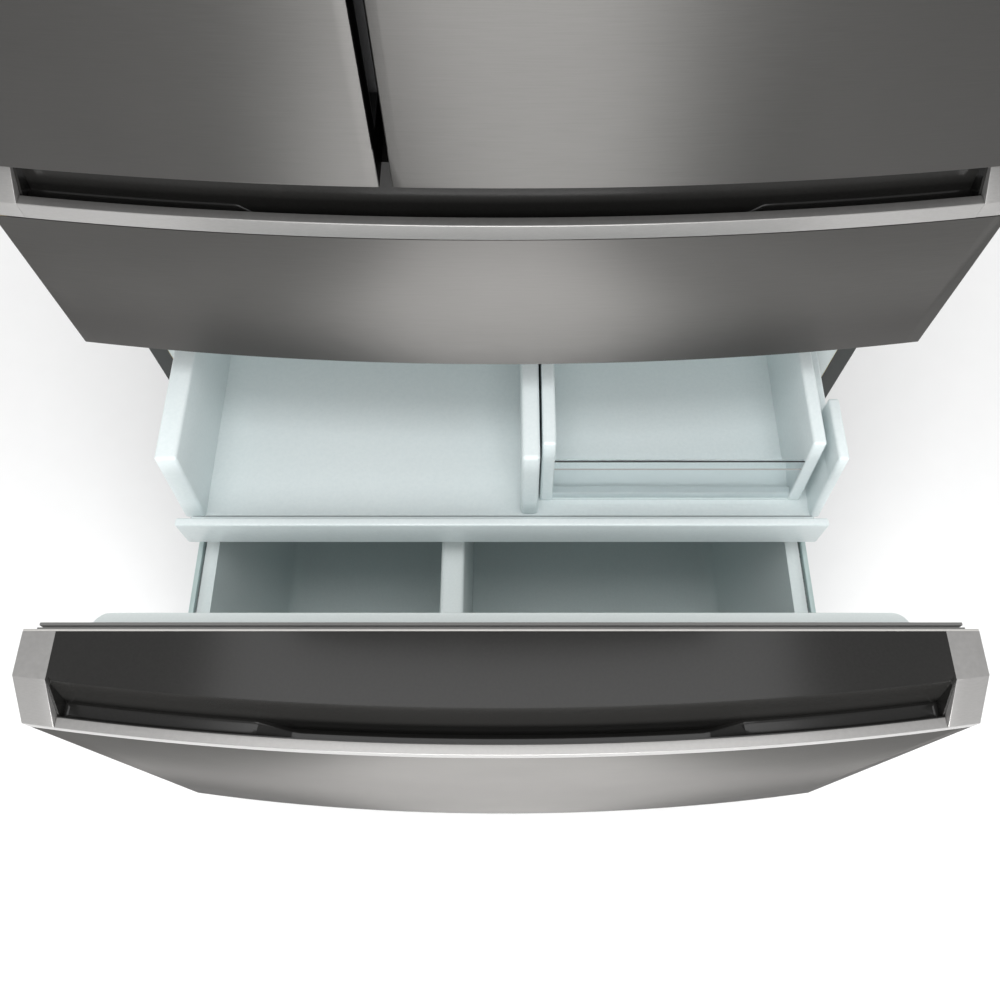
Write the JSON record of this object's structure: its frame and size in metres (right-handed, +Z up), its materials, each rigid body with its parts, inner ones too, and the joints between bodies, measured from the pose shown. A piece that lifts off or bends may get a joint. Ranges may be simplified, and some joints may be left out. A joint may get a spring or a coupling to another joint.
{
  "type": "french door refrigerator",
  "caption": "Large refrigerator with a narrow left and a wide right upper door, a middle drawer, and a bottom freezer drawer standing open with its basket, upper tray and ice bin.",
  "frame": {"origin": "on the floor, centred in the width and at half the depth of the case", "axes": "the doors face -Y, +X is to the right seen from the front, +Z is up"},
  "size_m": [0.908, 1.2803, 1.775],
  "materials": {
    "case_paint": "satin",
    "galvanised_steel": "satin",
    "liner_plastic": "satin",
    "foam": "matte",
    "stainless_face": "satin",
    "silver_trim": "satin",
    "dark_trim": "gloss",
    "grip_plastic": "satin",
    "gasket_rubber": "matte",
    "clear_plastic": "gloss",
    "basket_plastic": "satin",
    "tray_plastic": "satin",
    "zinc_steel": "satin",
    "black_plastic": "matte",
    "white_plastic": "satin",
    "shelf_glass": "gloss",
    "fin_aluminium": "satin",
    "machine_paint": "satin"
  },
  "bodies": {
    "cabinet": {"case_wrapper": "case_paint", "fresh_food_liner": "liner_plastic", "middle_liner": "liner_plastic", "freezer_liner": "liner_plastic", "insulation": "foam", "cabinet_base": "galvanised_steel", "leveling_legs": "zinc_steel", "toe_grille": "black_plastic", "back_panels": "galvanised_steel", "cord_gland": "black_plastic", "water_valve": "white_plastic", "compressor": "machine_paint", "condenser": "machine_paint", "door_hinges": "zinc_steel", "hinge_covers": "grip_plastic", "shelf_frames": "white_plastic", "shelf_glass": "shelf_glass", "evaporator": "fin_aluminium", "evaporator_cover": "liner_plastic", "ice_maker": "white_plastic", "fixed_slides": "zinc_steel"},
    "rear_rollers": {"rear_rollers": "black_plastic"},
    "condenser_fan": {"condenser_fan": "black_plastic"},
    "freezer_fan": {"freezer_fan": "black_plastic"},
    "crisper_left": {"crisper_left": "clear_plastic"},
    "crisper_right": {"crisper_right": "clear_plastic"},
    "left_door": {"left_door_skin": "stainless_face", "left_door_foam": "foam", "left_door_liner": "liner_plastic", "left_door_gasket": "gasket_rubber", "left_door_grip": "grip_plastic", "left_door_bins": "clear_plastic"},
    "right_door": {"right_door_skin": "stainless_face", "right_door_foam": "foam", "right_door_liner": "liner_plastic", "right_door_gasket": "gasket_rubber", "right_door_grip": "grip_plastic", "right_door_bins": "clear_plastic"},
    "flip_mullion": {"flip_mullion": "grip_plastic"},
    "middle_drawer": {"middle_drawer_skin": "stainless_face", "middle_drawer_bezel": "silver_trim", "middle_drawer_pocket": "dark_trim", "middle_drawer_liner": "liner_plastic", "middle_drawer_foam": "foam", "middle_drawer_gasket": "gasket_rubber", "middle_drawer_rails": "zinc_steel", "middle_basket": "clear_plastic"},
    "middle_slide_members": {"middle_slide_members": "zinc_steel"},
    "freezer_drawer": {"freezer_drawer_skin": "stainless_face", "freezer_drawer_bezel": "silver_trim", "freezer_drawer_pocket": "dark_trim", "freezer_drawer_liner": "liner_plastic", "freezer_drawer_foam": "foam", "freezer_drawer_gasket": "gasket_rubber", "freezer_drawer_frame": "zinc_steel", "freezer_basket": "basket_plastic"},
    "basket_divider": {"basket_divider": "tray_plastic"},
    "freezer_slide_members": {"freezer_slide_members": "zinc_steel"},
    "upper_tray": {"upper_tray": "tray_plastic", "ice_bin": "tray_plastic"}
  },
  "joints": [
    {"name": "left_door_hinge", "type": "hinge", "parent": "cabinet", "child": "left_door", "pos_m": [-0.445, -0.415, 1.3], "axis": [0, 0, -1], "range_deg": [0, 125]},
    {"name": "right_door_hinge", "type": "hinge", "parent": "cabinet", "child": "right_door", "pos_m": [0.445, -0.415, 1.3], "axis": [0, 0, 1], "range_deg": [0, 125]},
    {"name": "flip_mullion_turn", "type": "hinge", "parent": "left_door", "child": "flip_mullion", "pos_m": [-0.11525, -0.36, 1.3], "axis": [0, 0, -1], "range_deg": [0, 90]},
    {"name": "freezer_drawer_slide", "type": "slide", "parent": "cabinet", "child": "freezer_drawer", "axis": [0, -1, 0], "range_m": [-0.401, 0.05]},
    {"name": "freezer_slide_members_slide", "type": "slide", "parent": "cabinet", "child": "freezer_slide_members", "axis": [0, -1, 0], "range_m": [-0.2005, 0.025]},
    {"name": "middle_drawer_slide", "type": "slide", "parent": "cabinet", "child": "middle_drawer", "axis": [0, -1, 0], "range_m": [0, 0.42]},
    {"name": "middle_slide_members_slide", "type": "slide", "parent": "cabinet", "child": "middle_slide_members", "axis": [0, -1, 0], "range_m": [0, 0.21]},
    {"name": "upper_tray_slide", "type": "slide", "parent": "freezer_drawer", "child": "upper_tray", "axis": [0, -1, 0], "range_m": [-0.045, 0.115]},
    {"name": "basket_divider_slide", "type": "slide", "parent": "freezer_drawer", "child": "basket_divider", "axis": [1, 0, 0], "range_m": [-0.245, 0.36]},
    {"name": "crisper_left_slide", "type": "slide", "parent": "cabinet", "child": "crisper_left", "axis": [0, -1, 0], "range_m": [0, 0.15]},
    {"name": "crisper_right_slide", "type": "slide", "parent": "cabinet", "child": "crisper_right", "axis": [0, -1, 0], "range_m": [0, 0.15]},
    {"name": "condenser_fan_spin", "type": "hinge", "parent": "cabinet", "child": "condenser_fan", "pos_m": [0.041, 0.252, 0.146], "axis": [1, 0, 0], "continuous": true},
    {"name": "freezer_fan_spin", "type": "hinge", "parent": "cabinet", "child": "freezer_fan", "pos_m": [-0.19, 0.283, 0.542], "axis": [0, 1, 0], "continuous": true},
    {"name": "rear_roller_spin", "type": "hinge", "parent": "cabinet", "child": "rear_rollers", "pos_m": [0, 0.3, 0.021], "axis": [1, 0, 0], "continuous": true}
  ],
  "couplings": [
    {"joint": "freezer_slide_members_slide", "follows": "freezer_drawer_slide", "ratio": 0.5},
    {"joint": "middle_slide_members_slide", "follows": "middle_drawer_slide", "ratio": 0.5}
  ]
}
